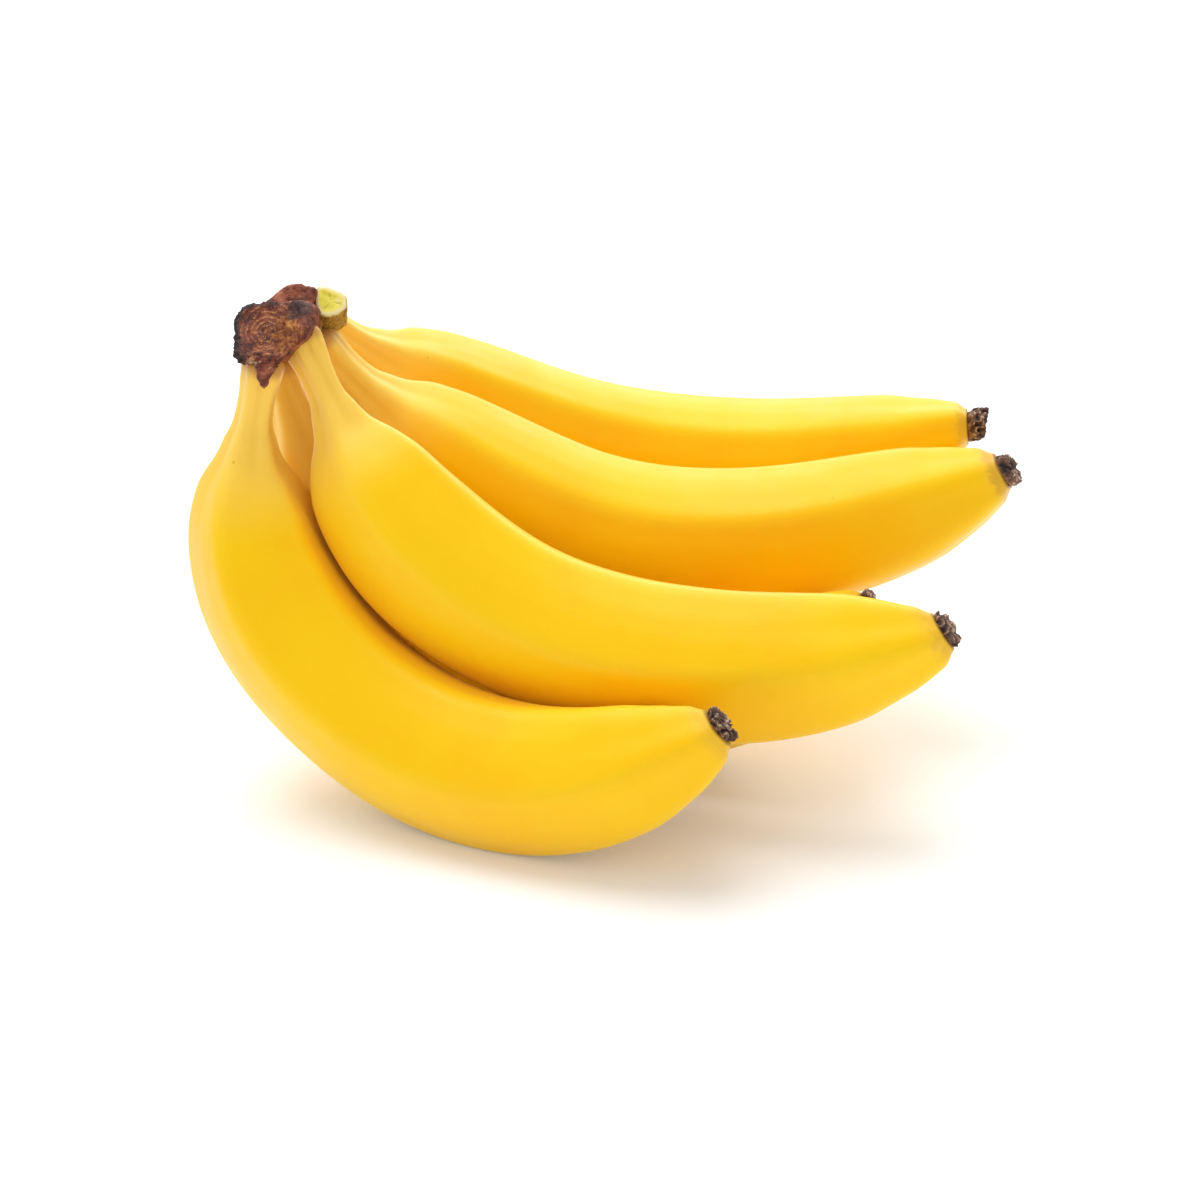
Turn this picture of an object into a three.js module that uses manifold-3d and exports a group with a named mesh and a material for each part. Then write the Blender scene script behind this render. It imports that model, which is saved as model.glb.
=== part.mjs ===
// A bunch of five ripe bananas lying on a table, in millimetres, with +Z up and the table at z = 0.
// X runs from the crown towards the tips, and Y runs from the front finger to the rear one.
// The origin is on the table, under the middle of the bunch's bounding box.
import * as THREE from 'three';
import { ConvexGeometry } from 'three/addons/geometries/ConvexGeometry.js';
import { mergeVertices } from 'three/addons/utils/BufferGeometryUtils.js';
import Module from 'manifold-3d';

const wasm = await Module();
wasm.setup();

// Peel
const SIDES = 20;               // points round a finger, four to each of its five faces
const RINGS_PER_STRETCH = 3;    // rings between two stations of the girth
const TOUCH_GAP = 0.3;          // clearance kept where two pieces press on each other
const ROOT_DOME = 3.5;          // length over which a stalk's root rounds off inside the crown
const DOME_LIFTS = [60, 40, 20, 0];     // the dome's rings, in degrees from its foot
const SLANT_FROM = 0.9;         // share of the spine where the section starts to slant towards the tip
const NECK = [0.03, 0.1, 0.13, 0.2];    // shares between which a finger's own neck swells in and out again
const SPINE_STEPS = 240;

// The girth of a finger: share of its peel from root to tip, radius in mm.
const GIRTH = [
  [0.000, 5.0], [0.030, 4.6], [0.065, 4.2], [0.115, 6.2], [0.180, 12.2], [0.250, 15.6], [0.340, 17.2],
  [0.460, 17.2], [0.600, 17.4], [0.740, 16.9], [0.850, 15.0], [0.930, 11.2], [0.970, 8.3], [1.000, 5.6],
];

// How far the five ridges stand out of the round: share of the length, share of the radius.
const RIDGES = [[0, 0.05], [0.1, 0.09], [0.22, 0.06], [0.4, 0.045], [0.75, 0.045], [0.93, 0.07], [1, 0.06]];

// How sharply a finger bends: shares of its length, at which each finger gives its own bend.
const BEND_STATIONS = [0, 0.14, 0.28, 0.48, 0.74, 1];

// Each finger lies in one plane. heading is the plane's compass direction and lean is how far the plane
// tips from upright. The finger leaves the crown at the angle start, and then curls by bend, in degrees
// per finger length at each station. girth and neck are shares of the common girth. roll turns the five
// ridges about the spine. tip is the share of the spine where the peel ends in the dried blossom, slant is
// how far that end tilts, in degrees, towards the curl and to its side, and blossom is the blossom's length.
const FINGERS = [
  { root: [-81.8, -7.2, 109.2], heading: -27.5, lean: -4.5, start: -103, length: 198,
    bend: [5, 152, 226, 139, 152, 83], girth: 1.05, neck: 0.96, roll: -17,
    tip: 0.998, slant: [-5, -17], blossom: 2.6 },
  { root: [-75.1, 0.9, 113.6], heading: -12.5, lean: -9.5, start: -64, length: 197,
    bend: [-2, 56, 145, 117, 76, 75], girth: 1.07, neck: 0.87, roll: -15,
    tip: 0.988, slant: [-12, -5], blossom: 2.3 },
  { root: [-72.7, 13.8, 107.7], heading: -4, lean: 12.5, start: -52, length: 198,
    bend: [11, 59, 104, 124, 89, 43], girth: 1.03, neck: 1, roll: -38,
    tip: 0.985, slant: [1, -4], blossom: 3.0 },
  { root: [-73.4, 25.7, 110.0], heading: -9, lean: 43, start: -60.5, length: 198,
    bend: [16, 73, 95, 135, 130, 48], girth: 0.91, neck: 1, roll: 0,
    tip: 0.99, slant: [36, -6], blossom: 6.0 },
  { root: [-82.1, 14.5, 102.0], heading: -14.5, lean: 9, start: -78, length: 206,
    bend: [7, 86, 154, 157, 148, 66], girth: 1.01, neck: 1.42, roll: -20,
    tip: 0.99, slant: [12, -10], blossom: 2.4 },
];

// Dried blossom ends: a short ragged knob, by share of its radius and share of its length
const BLOSSOM_RADIUS = 4.8;
const BLOSSOM_SIDES = 15;
const BLOSSOM_SHAPE = [[0, 0], [0.92, 0], [1, 0.2], [0.98, 0.6], [0.8, 0.92], [0.5, 1], [0.25, 0.85], [0, 0.78]];
const BLOSSOM_LOBES = 0.06;

// Crown: the pad that the five stalks grow from, with a frame of its own that leans back by CROWN_LEAN.
// In that frame x runs right, y runs up the cut face and z comes out of it.
const CROWN_AT = [-79.6, 9.9, 109.8];
const CROWN_LEAN = 22;
const CUT_FACE_RIM = [
  [-7.4, 4.9], [-9.2, 3.0], [-9.8, 0.5], [-9.1, -3.2], [-9.0, -6.6], [-8.0, -8.6], [-5.0, -8.8],
  [-0.2, -9.2], [1.8, -8.6], [3.6, -6.4], [6.9, -3.2], [6.8, 0.5], [8.0, 3.9], [6.2, 5.8], [4.2, 6.3],
  [0.7, 5.6], [-4.0, 5.3],
];
const CUT_FACE_OUT = 13;        // height of the cut face above the crown's middle
const CUT_FACE_SLOPE = 0.95;    // how far the face falls back for each mm up
const CUT_FACE_TURN = 0.25;     // how far it comes forward for each mm to the right
const PAD_BACK = -13;
const PAD_BACK_SHIFT = [2.5, 1.5];
const PAD_BACK_SHARE = 0.82;
const LOBE_RIM = [
  [-5.3, 4.6], [-1.2, 8.0], [0.2, 9.7], [3.4, 11.0], [6.8, 10.2], [8.2, 9.8], [7.8, 6.8], [6.0, 4.0],
];
const LOBE_FRONT = 6;
const LOBE_BACK = -17;
const LOBE_FRONT_SLOPE = 0.5;
const LOBE_BACK_SHARE = 0.78;
const LOBE_BACK_SHIFT = [1.5, 1];
const SPIKE = [
  [-4.8, -6.4, 19.0], [1.0, -6.6, 19.6], [-4.4, -7.0, 15.0], [0.6, -7.0, 15.6], [-4.2, -9.2, 20.6],
  [0.8, -9.4, 21.0], [-2.6, -15.7, 22.4], [-2.0, -15.3, 21.2],
];
const STUB_RIM = [
  [8.6, 10.4], [10.2, 10.6], [14.0, 9.3], [15.7, 8.0], [15.7, 5.1], [13.6, 3.6], [11.4, 3.1], [9.6, 3.6],
  [8.4, 6.8],
];
const STUB_OUT = 3.6;
const STUB_SLOPE = 0.55;
const STUB_DEEP = [-0.6, -3.2, -8];

const GROWN = 1.03;             // the crown swollen by about the touching gap
const STUB_GROWN = 1.05;        // the stub swollen by about the same gap
const TABLE = [600, 600, 60];

const radians = THREE.MathUtils.degToRad;
const girthCurve = new THREE.SplineCurve(GIRTH.map(([at, radius]) => new THREE.Vector2(radius, at)));

// A value at a share of the length, read along straight lines between stations.
function between(stations, values, share) {
  let i = 0;
  while (i < stations.length - 2 && share > stations[i + 1]) i += 1;
  const part = (share - stations[i]) / (stations[i + 1] - stations[i]);
  return THREE.MathUtils.lerp(values[i], values[i + 1], THREE.MathUtils.clamp(part, 0, 1));
}

const bendAt = (bend, share) => between(BEND_STATIONS, bend, share);
const ridgeAt = (share) => between(RIDGES.map(([at]) => at), RIDGES.map(([, height]) => height), share);

// The spine of a finger: its point, its direction and the direction that it curls towards, by share.
function spineOf(finger) {
  const steps = SPINE_STEPS;
  const heading = radians(finger.heading);
  const lean = radians(finger.lean);
  const ahead = new THREE.Vector3(Math.cos(heading), Math.sin(heading), 0);
  const side = new THREE.Vector3().crossVectors(ahead, new THREE.Vector3(0, 0, 1));
  const rise = new THREE.Vector3(0, 0, Math.cos(lean)).addScaledVector(side, Math.sin(lean));
  const turned = (angle) => ahead.clone().multiplyScalar(Math.cos(angle)).addScaledVector(rise, Math.sin(angle));
  const points = [new THREE.Vector3(...finger.root)];
  const angles = [radians(finger.start)];
  for (let i = 0; i < steps; i += 1) {
    const angle = angles[i] + radians(bendAt(finger.bend, (i + 0.5) / steps)) / steps;
    points.push(points[i].clone().addScaledVector(turned((angles[i] + angle) / 2), finger.length / steps));
    angles.push(angle);
  }
  return (share) => {
    const place = THREE.MathUtils.clamp(share, 0, 1) * steps;
    const i = Math.min(Math.floor(place), steps - 1);
    const angle = THREE.MathUtils.lerp(angles[i], angles[i + 1], place - i);
    const along = turned(angle);
    const point = points[i].clone().lerp(points[i + 1], place - i);
    point.addScaledVector(along, (share - place / steps) * finger.length);
    return { point, along, curl: turned(angle + Math.PI / 2) };
  };
}

// How much thicker or thinner a finger's neck is than the common girth, at a share of its length.
function neckAt(finger, share) {
  const [start, full, hold, end] = NECK;
  const there = THREE.MathUtils.smoothstep(share, start, full) * (1 - THREE.MathUtils.smoothstep(share, hold, end));
  return 1 + (finger.neck - 1) * there;
}

// Bends a lathe, whose axis is Y in shares of the finger's length, onto the finger's spine. Towards the tip
// its sections slant, so that the dried end faces the way that the finger says.
function bendLathe(geometry, finger, swell) {
  const at = spineOf(finger);
  const spots = geometry.attributes.position;
  const [slantCurl, slantSide] = finger.slant.map((angle) => Math.tan(radians(angle)));
  for (let i = 0; i < spots.count; i += 1) {
    const share = spots.getY(i);
    const radius = Math.hypot(spots.getX(i), spots.getZ(i));
    const around = Math.atan2(spots.getZ(i), spots.getX(i)) + radians(finger.roll);
    const { point, along, curl } = at(share);
    const side = new THREE.Vector3().crossVectors(curl, along);
    const reach = radius * swell(around - radians(finger.roll), share);
    const slant = THREE.MathUtils.smoothstep(share, SLANT_FROM, finger.tip);
    const ahead = reach * slant * (slantCurl * Math.cos(around) + slantSide * Math.sin(around));
    point.addScaledVector(curl, reach * Math.cos(around)).addScaledVector(side, reach * Math.sin(around));
    point.addScaledVector(along, ahead);
    spots.setXYZ(i, point.x, point.y, point.z);
  }
  return geometry;
}

// A closed solid from a geometry whose faces point out.
function solidOf(geometry) {
  let plain = geometry.clone();
  plain.deleteAttribute('normal');
  plain.deleteAttribute('uv');
  plain = mergeVertices(plain, 1e-4);
  const solid = new wasm.Manifold(new wasm.Mesh({
    numProp: 3,
    vertProperties: new Float32Array(plain.attributes.position.array),
    triVerts: new Uint32Array(plain.index.array),
  }));
  return solid;
}

function geometryOf(solid) {
  const mesh = solid.getMesh();
  const geometry = new THREE.BufferGeometry();
  geometry.setAttribute('position', new THREE.BufferAttribute(new Float32Array(mesh.vertProperties), 3));
  geometry.setIndex(new THREE.BufferAttribute(new Uint32Array(mesh.triVerts), 1));
  geometry.computeVertexNormals();
  return geometry;
}

// The peel of one finger, swollen all round by grow: a rounded pentagon swept along its spine.
function peelSolid(finger, grow = 0) {
  const count = (GIRTH.length - 1) * RINGS_PER_STRETCH;
  const dome = ROOT_DOME / finger.length;
  const profile = girthCurve.getPoints(count).filter((spot) => spot.y > dome);
  const rings = profile.map((spot) => {
    const share = spot.y * finger.tip;
    return new THREE.Vector2(spot.x * finger.girth * neckAt(finger, share) + grow, share);
  });
  const ends = grow / finger.length;
  const rootRadius = GIRTH[0][1] * finger.girth + grow;
  for (const lift of DOME_LIFTS) {
    const angle = radians(lift);
    const share = dome * (1 - Math.sin(angle)) - ends;
    rings.unshift(new THREE.Vector2(rootRadius * Math.cos(angle), share));
  }
  rings.sort((a, b) => a.y - b.y);
  rings[rings.length - 1].y += ends;
  rings.unshift(new THREE.Vector2(0, -ends));
  rings.push(new THREE.Vector2(0, rings[rings.length - 1].y));
  const lathe = new THREE.LatheGeometry(rings, SIDES);
  return solidOf(bendLathe(lathe, finger, (around, share) => 1 + ridgeAt(share) * Math.cos(5 * around)));
}

// The dried blossom on a finger's tip.
function blossomSolid(finger) {
  const start = finger.tip + TOUCH_GAP / finger.length;
  const radius = BLOSSOM_RADIUS * finger.girth;
  const reach = finger.blossom / finger.length;
  const rings = BLOSSOM_SHAPE.map(([out, up]) => new THREE.Vector2(out * radius, start + up * reach));
  const lathe = new THREE.LatheGeometry(rings, BLOSSOM_SIDES);
  return solidOf(bendLathe(lathe, finger, (around) => 1 + BLOSSOM_LOBES * Math.cos(3 * around)));
}

// A solid hull round points in the crown's own frame, scaled by share about its middle.
function crownHull(points, share) {
  const frame = new THREE.Matrix4().makeRotationX(radians(90 - CROWN_LEAN)).setPosition(...CROWN_AT);
  const middle = points.reduce((sum, spot) => sum.add(spot), new THREE.Vector3()).divideScalar(points.length);
  const placed = points.map((spot) => spot.clone().sub(middle).multiplyScalar(share).add(middle).applyMatrix4(frame));
  return solidOf(new ConvexGeometry(placed));
}

const padPoints = () => CUT_FACE_RIM.flatMap(([x, y]) => [
  new THREE.Vector3(x, y, CUT_FACE_OUT - CUT_FACE_SLOPE * y + CUT_FACE_TURN * x),
  new THREE.Vector3(x * PAD_BACK_SHARE + PAD_BACK_SHIFT[0], y * PAD_BACK_SHARE + PAD_BACK_SHIFT[1], PAD_BACK),
]);

const lobePoints = () => LOBE_RIM.flatMap(([x, y]) => [
  new THREE.Vector3(x, y, LOBE_FRONT - LOBE_FRONT_SLOPE * y),
  new THREE.Vector3(x * LOBE_BACK_SHARE + LOBE_BACK_SHIFT[0], y * LOBE_BACK_SHARE + LOBE_BACK_SHIFT[1], LOBE_BACK),
]);

const spikePoints = () => SPIKE.map((spot) => new THREE.Vector3(...spot));

const stubPoints = () => STUB_RIM.flatMap(([x, y]) => {
  const rim = new THREE.Vector3(x, y, STUB_OUT - STUB_SLOPE * y);
  return [rim, rim.clone().add(new THREE.Vector3(...STUB_DEEP))];
});

// The dried crown: the pad with its cut face, the lobe above it and the torn strip that hangs below.
function crownSolid(share = 1) {
  return crownHull(padPoints(), share).add(crownHull(lobePoints(), share)).add(crownHull(spikePoints(), share));
}

function tableSolid() {
  const slab = new THREE.BoxGeometry(...TABLE);
  slab.translate(0, 0, -TABLE[2] / 2);
  return solidOf(slab);
}

// Colours and finish from the photograph
const peel = new THREE.MeshStandardMaterial({ color: 0xf7c313, roughness: 0.5, metalness: 0 });
const driedCrown = new THREE.MeshStandardMaterial({ color: 0x6a3420, roughness: 0.85, metalness: 0 });
const freshCut = new THREE.MeshStandardMaterial({ color: 0xd8cf55, roughness: 0.6, metalness: 0 });
const driedBlossom = new THREE.MeshStandardMaterial({ color: 0x5b4238, roughness: 0.9, metalness: 0 });

const bunch = new THREE.Group();
bunch.name = 'banana_bunch';

function addPiece(name, solid, material) {
  const piece = new THREE.Mesh(geometryOf(solid), material);
  piece.name = name;
  bunch.add(piece);
}

const crown = crownSolid();
const crownGrown = crownSolid(GROWN);
const stub = crownHull(stubPoints(), 1).subtract(crownGrown);
const stubGrown = crownHull(stubPoints(), STUB_GROWN);
const table = tableSolid();
let taken = crownGrown.add(stubGrown);
FINGERS.forEach((finger, i) => {
  const body = peelSolid(finger).subtract(taken).subtract(table);
  const pieces = body.decompose().sort((a, b) => b.volume() - a.volume());
  addPiece(`finger_${i + 1}`, pieces[0], peel);
  taken = taken.add(peelSolid(finger, TOUCH_GAP));
});
FINGERS.forEach((finger, i) => addPiece(`blossom_end_${i + 1}`, blossomSolid(finger), driedBlossom));
addPiece('crown', crown, driedCrown);
addPiece('cut_stub', stub, freshCut);

export default bunch;
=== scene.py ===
"""A bunch of five ripe bananas, dressed for the studio round its fixed frame. All sizes are in metres."""
import math

import bmesh
import bpy
from bpy.props import FloatProperty, FloatVectorProperty, IntProperty, PointerProperty
from mathutils import Matrix, Vector, noise


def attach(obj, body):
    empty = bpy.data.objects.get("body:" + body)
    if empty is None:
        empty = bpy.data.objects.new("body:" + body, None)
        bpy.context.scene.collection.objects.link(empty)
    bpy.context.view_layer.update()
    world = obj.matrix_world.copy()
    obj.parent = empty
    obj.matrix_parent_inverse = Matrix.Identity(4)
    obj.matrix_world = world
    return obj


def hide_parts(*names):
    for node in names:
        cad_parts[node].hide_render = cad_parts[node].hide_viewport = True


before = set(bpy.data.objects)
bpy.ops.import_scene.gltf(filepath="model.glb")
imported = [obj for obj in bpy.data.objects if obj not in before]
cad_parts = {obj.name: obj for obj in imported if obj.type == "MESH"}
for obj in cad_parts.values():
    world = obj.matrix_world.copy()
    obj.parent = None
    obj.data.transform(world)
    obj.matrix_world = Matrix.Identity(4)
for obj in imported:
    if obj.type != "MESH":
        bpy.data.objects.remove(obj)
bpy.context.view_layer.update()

bl_info = {
    "name": "Banana Bunch",
    "version": (1, 0, 0),
    "blender": (4, 5, 0),
    "location": "View3D > Sidebar > Bananas",
    "description": "Builds the peels, dried blossom ends, crown and cut stub of a bunch of bananas",
    "category": "Add Mesh",
}

MM = 0.001
BODY = "root"
MATH = "ShaderNodeMath"
VECTOR = "ShaderNodeVectorMath"
NOISE = "ShaderNodeTexNoise"
RANGE = "ShaderNodeMapRange"
MIX = "ShaderNodeMix"
RAMP = "ShaderNodeValToRGB"
CURVE = "ShaderNodeFloatCurve"
BUMP = "ShaderNodeBump"
ATTRIBUTE = "ShaderNodeAttribute"
SMOOTH = "SMOOTHSTEP"

# The girth of a finger: share of its peel from root to tip, radius in mm.
GIRTH = (
    (0.000, 5.0), (0.030, 4.6), (0.065, 4.2), (0.115, 6.2), (0.180, 12.2), (0.250, 15.6), (0.340, 17.2),
    (0.460, 17.2), (0.600, 17.4), (0.740, 16.9), (0.850, 15.0), (0.930, 11.2), (0.970, 8.3), (1.000, 5.6),
)
GIRTH_TOP = 20.0          # radius in mm that the top of the girth curve stands for
# How far the five ridges stand out of the round: share of the length, share of the radius.
RIDGES = ((0, 0.05), (0.1, 0.09), (0.22, 0.06), (0.4, 0.045), (0.75, 0.045), (0.93, 0.06), (1, 0.05))
RIDGE_TOP = 0.1           # share of the radius that the top of the ridge curve stands for
# The waves that make the five ridges: how many go round, and how high they are beside the first.
RIDGE_WAVES = ((5.0, 1.0), (10.0, 0.25), (15.0, 0.09))
CRISP_FROM = (0.08, 0.28)  # shares over which the ridges sharpen above the stalk
CRISP_TO = (0.72, 0.92)   # shares over which they soften again towards the tip
SOFT = 0.1                # how crisp they are on the stalk, and by what factor they soften at the tip
NECK = (0.03, 0.1, 0.13, 0.2)   # shares between which a finger's own neck swells in and out again
ROOT_DOME = 3.5 * MM      # length over which a stalk's root rounds off inside the crown
ROOT_END = 0.1            # share of the radius left where the root ends
LIP = 3.4 * MM            # length over which the peel rolls in towards the dried blossom
LIP_END = 0.81            # share of the radius left where it meets the blossom
STALK_END = (0.1, 0.2)    # shares over which the stalk's furrows fade
FURROW = 0.15 * MM        # how deep the furrows are
FURROW_NOISE = {"Scale": 330.0, "Detail": 2.0, "Roughness": 0.5}
LUMP_NOISE = {"Scale": 22.0, "Detail": 1.5, "Roughness": 0.4}
LOWEST = (-9.0, -9.0, 0.0)  # no point of the peel lies lower in z, and x and y are free
PEEL_CAP_RINGS = 6        # rings of faces across each end of a peel
PEEL_SHIFT = 0.37         # how far the noise is shifted from one finger to the next
SLANT_FROM = 0.9          # share of the spine where the section starts to slant towards the tip
BEND_STATIONS = (0, 0.14, 0.28, 0.48, 0.74, 1)
SPINE_STEPS = 240

# Each finger lies in one plane: heading is its compass direction and lean how far it tips from upright.
# The finger leaves the crown at the angle start and curls by bend, in degrees per finger length at each
# station. girth and neck are shares of the common girth, and roll turns the five ridges. tip is the share
# of the spine where the peel ends, slant how far that end tilts, and blossom the dried blossom's length in
# mm. lobes, notch and turn name the way that the blossom has crumpled, and worn how far its brown scuffs
# have spread over the peel.
FINGERS = (
    dict(root=(-81.8, -7.2, 109.2), heading=-27.5, lean=-4.5, start=-103, length=198,
         bend=(5, 152, 226, 139, 152, 83), girth=1.05, neck=0.96, roll=-17, tip=0.998, slant=(-5, -17),
         blossom=2.0, lobes=2, notch=0.07, turn=20, worn=0.1),
    dict(root=(-75.1, 0.9, 113.6), heading=-12.5, lean=-9.5, start=-64, length=197,
         bend=(-2, 56, 145, 117, 76, 75), girth=1.07, neck=0.87, roll=-15, tip=0.988, slant=(-12, -5),
         blossom=1.8, lobes=4, notch=0.05, turn=70, worn=0.15),
    dict(root=(-72.7, 13.8, 107.7), heading=-4, lean=12.5, start=-52, length=198,
         bend=(11, 59, 104, 124, 89, 43), girth=1.03, neck=1, roll=-38, tip=0.985, slant=(1, -4),
         blossom=2.6, lobes=3, notch=0.12, turn=10, worn=0.35),
    dict(root=(-73.4, 25.7, 110.0), heading=-9, lean=43, start=-60.5, length=198,
         bend=(16, 73, 95, 135, 130, 48), girth=0.91, neck=1, roll=0, tip=0.99, slant=(36, -6),
         blossom=5.6, lobes=2, notch=0.12, turn=160, worn=0.2),
    dict(root=(-82.1, 14.5, 102.0), heading=-14.5, lean=9, start=-78, length=206,
         bend=(7, 86, 154, 157, 148, 66), girth=1.01, neck=1.42, roll=-20, tip=0.99, slant=(12, -10),
         blossom=1.8, lobes=4, notch=0.10, turn=120, worn=0.2),
)

# Dried blossoms. BLOSSOM_PROFILE gives shares of the height and the radius, and FOLDS the scale, sharpness
# and share of each kind of fold.
BLOSSOM_PROFILE = ((0, 0.95), (0.3, 1.0), (0.7, 0.97), (0.9, 0.88), (1, 0.74))
BLOSSOM_HOLLOW = 0.25     # how far the far end sinks in, as a share of the blossom's length
BLOSSOM_TILT = 0.16       # how much higher one side of it stands
BLOSSOM_LOOSE = 0.45      # share of the height from which the folds have their full depth
FOLDS = ((300.0, 9.0, 0.68), (700.0, 7.0, 0.32))
FOLD_LEVEL = 0.3          # the part of a fold that lies below the smooth cap
GRIT = 0.4 * MM           # how far the finest grit moves a point
BLOSSOM_SIDES = 150
BLOSSOM_RINGS = 30
BLOSSOM_CAP_RINGS = 44
BLOSSOM_SHIFT = 0.53      # how far the noise is shifted from one blossom to the next

# The crown's own frame: x runs right, y up the cut face and z out of it, in mm.
CROWN_AT = (-79.6, 9.9, 109.8)
CROWN_LEAN = 22
CUT_FACE_RIM = (
    (-7.4, 4.9), (-9.2, 3.0), (-9.8, 0.5), (-9.1, -3.2), (-9.0, -6.6), (-8.0, -8.6), (-5.0, -8.8),
    (-0.2, -9.2), (1.8, -8.6), (3.6, -6.4), (6.9, -3.2), (6.8, 0.5), (8.0, 3.9), (6.2, 5.8), (4.2, 6.3),
    (0.7, 5.6), (-4.0, 5.3),
)
CUT_FACE_OUT = 13
CUT_FACE_SLOPE = 0.95
CUT_FACE_TURN = 0.25
STUB_RIM = (
    (8.6, 10.4), (10.2, 10.6), (14.0, 9.3), (15.7, 8.0), (15.7, 5.1), (13.6, 3.6), (11.4, 3.1), (9.6, 3.6),
    (8.4, 6.8),
)
STUB_OUT = 3.6
STUB_SLOPE = 0.55
STUB_MIDDLE = (12.1, 6.9)
CROWN_MARKS = ("cut", "rim", "rings", "arcs", "strip", "crumb", "torn", "back")
ARCS_AT = (-2.4, -1.2)    # the middle of the arcs in which the fibres of the cut face end
ARC_GAP = 1.15            # from one arc to the next
STRIP_AT = -6.9           # x of the reddish strip
CRUMB_AT = (2.6, -2.0)    # the middle of the crumbly patch
# Heights on the crown, in mm
SKIN_LIFT = 0.35          # how far the skin stands off the solid
COARSE_GRAIN = 0.42
FINE_GRAIN = 0.18
RIM_HEIGHT = 0.6
BULGE_HEIGHT = 1.1        # at the right side of the cut face
ARC_HEIGHT = 0.16
FACE_DEPTH = 0.6          # how far the cut face has sunk inside its rim
CRUMB_HEIGHT = 0.5
CRUMB_GRAIN = 0.75
CROWN_ROUNDS = 6          # rounds of smoothing over the crown's voxels
STUB_MARKS = ("cut", "rim", "rays")
STUB_GRAIN = 0.3 * MM     # size of the stub's voxels
STUB_ROUNDS = 5           # rounds of smoothing over them

# The photograph's camera: it looks at AIM from CAMERA_RANGE away, CAMERA_RISE degrees above the horizon.
AIM = Vector((-2.4, 11.3, 38.7)) * MM
CAMERA_RANGE = 0.9
CAMERA_RISE = 22
CAMERA_LENS = 108
SENSOR = 36

# The place and the width of each light, in metres. Only the fill light gives no highlight.
LIGHTS = {
    "key": ((-0.35, 0.3, 1.5), 1.3),
    "fill": ((0.2, -1.5, 0.9), 1.2),
    "back": ((0.35, 1.6, 1.15), 2.1),
}
FLOOR_HALF = 6.0          # half the width of the paper floor
PAPER_GLOW = 0.13         # strength of the cool light from under the paper


def linear(hex_colour):
    """The linear colour of an sRGB hex value."""
    def channel(start):
        value = int(hex_colour[start:start + 2], 16) / 255
        return value / 12.92 if value <= 0.04045 else ((value + 0.055) / 1.055) ** 2.4
    return channel(1), channel(3), channel(5)


def rgba(hex_colour):
    return (*linear(hex_colour), 1.0)


def connect(tree, node, links):
    """Gives a node's inputs values, sockets or other nodes, in order or by name. A node stands for its first
    output that is in use."""
    for key, value in (links.items() if isinstance(links, dict) else enumerate(links)):
        if isinstance(value, bpy.types.Node):
            value = next(socket for socket in value.outputs if socket.enabled)
        if isinstance(value, bpy.types.NodeSocket):
            tree.links.new(value, node.inputs[key])
        else:
            node.inputs[key].default_value = value


def add(tree, kind, links=(), spots=(), **settings):
    """Adds one node with its properties and inputs. A curve or a colour ramp also has spots, each a place
    and a value or a hex colour."""
    node = tree.nodes.new(kind)
    for name, value in settings.items():
        setattr(node, name, value)
    connect(tree, node, links)
    if kind == CURVE:
        points = node.mapping.curves[0].points
        while len(points) < len(spots):
            points.new(0.5, 0.5)
        for point, spot in zip(points, spots):
            point.location = spot
        node.mapping.update()
    if kind == RAMP:
        stops = node.color_ramp.elements
        while len(stops) < len(spots):
            stops.new(0.5)
        for stop, (place, _) in zip(stops, spots):
            stop.position = place
        for stop, (_, colour) in zip(stops, spots):
            stop.color = rgba(colour)
    return node


def geometry_tree(name, inputs):
    """A new geometry tree with inputs, named under their kinds. Returns it and its input node's outputs."""
    tree = bpy.data.node_groups.new(name, "GeometryNodeTree")
    tree.interface.new_socket("Geometry", in_out="INPUT", socket_type="NodeSocketGeometry")
    for kind, labels in inputs.items():
        for label in labels:
            tree.interface.new_socket(label, in_out="INPUT", socket_type="NodeSocket" + kind)
    tree.interface.new_socket("Geometry", in_out="OUTPUT", socket_type="NodeSocketGeometry")
    return tree, tree.nodes.new("NodeGroupInput").outputs


def finish_tree(tree, geometry, material):
    """Ends a tree in Realize Instances, Set Shade Smooth and Set Material."""
    real = add(tree, "GeometryNodeRealizeInstances", (geometry,))
    smooth = add(tree, "GeometryNodeSetShadeSmooth", (real,))
    dressed = add(tree, "GeometryNodeSetMaterial", {"Geometry": smooth, "Material": material})
    add(tree, "NodeGroupOutput", (dressed,))


def apply_tree(tree, source, name, values):
    """Runs a tree on a source object, and leaves its result as a plain mesh object."""
    modifier = source.modifiers.new(tree.name, "NODES")
    modifier.node_group = tree
    for item in tree.interface.items_tree:
        if item.in_out == "INPUT" and item.name in values:
            modifier[item.identifier] = values[item.name]
    return plain_mesh(source, name)


def plain_mesh(source, name):
    """A plain mesh object with a source object's evaluated shape. The source is removed."""
    bpy.context.view_layer.update()
    depsgraph = bpy.context.evaluated_depsgraph_get()
    mesh = bpy.data.meshes.new_from_object(source.evaluated_get(depsgraph), depsgraph=depsgraph)
    mesh.name = name
    bpy.data.objects.remove(source)
    return new_object(name, mesh)


def new_object(name, data):
    piece = bpy.data.objects.new(name, data)
    bpy.context.scene.collection.objects.link(piece)
    return piece


def bend_at(bend, share):
    """The bend at a share of the length, read along straight lines between the stations."""
    i = 0
    while i < len(BEND_STATIONS) - 2 and share > BEND_STATIONS[i + 1]:
        i += 1
    part = (share - BEND_STATIONS[i]) / (BEND_STATIONS[i + 1] - BEND_STATIONS[i])
    return bend[i] + (bend[i + 1] - bend[i]) * part


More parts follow.
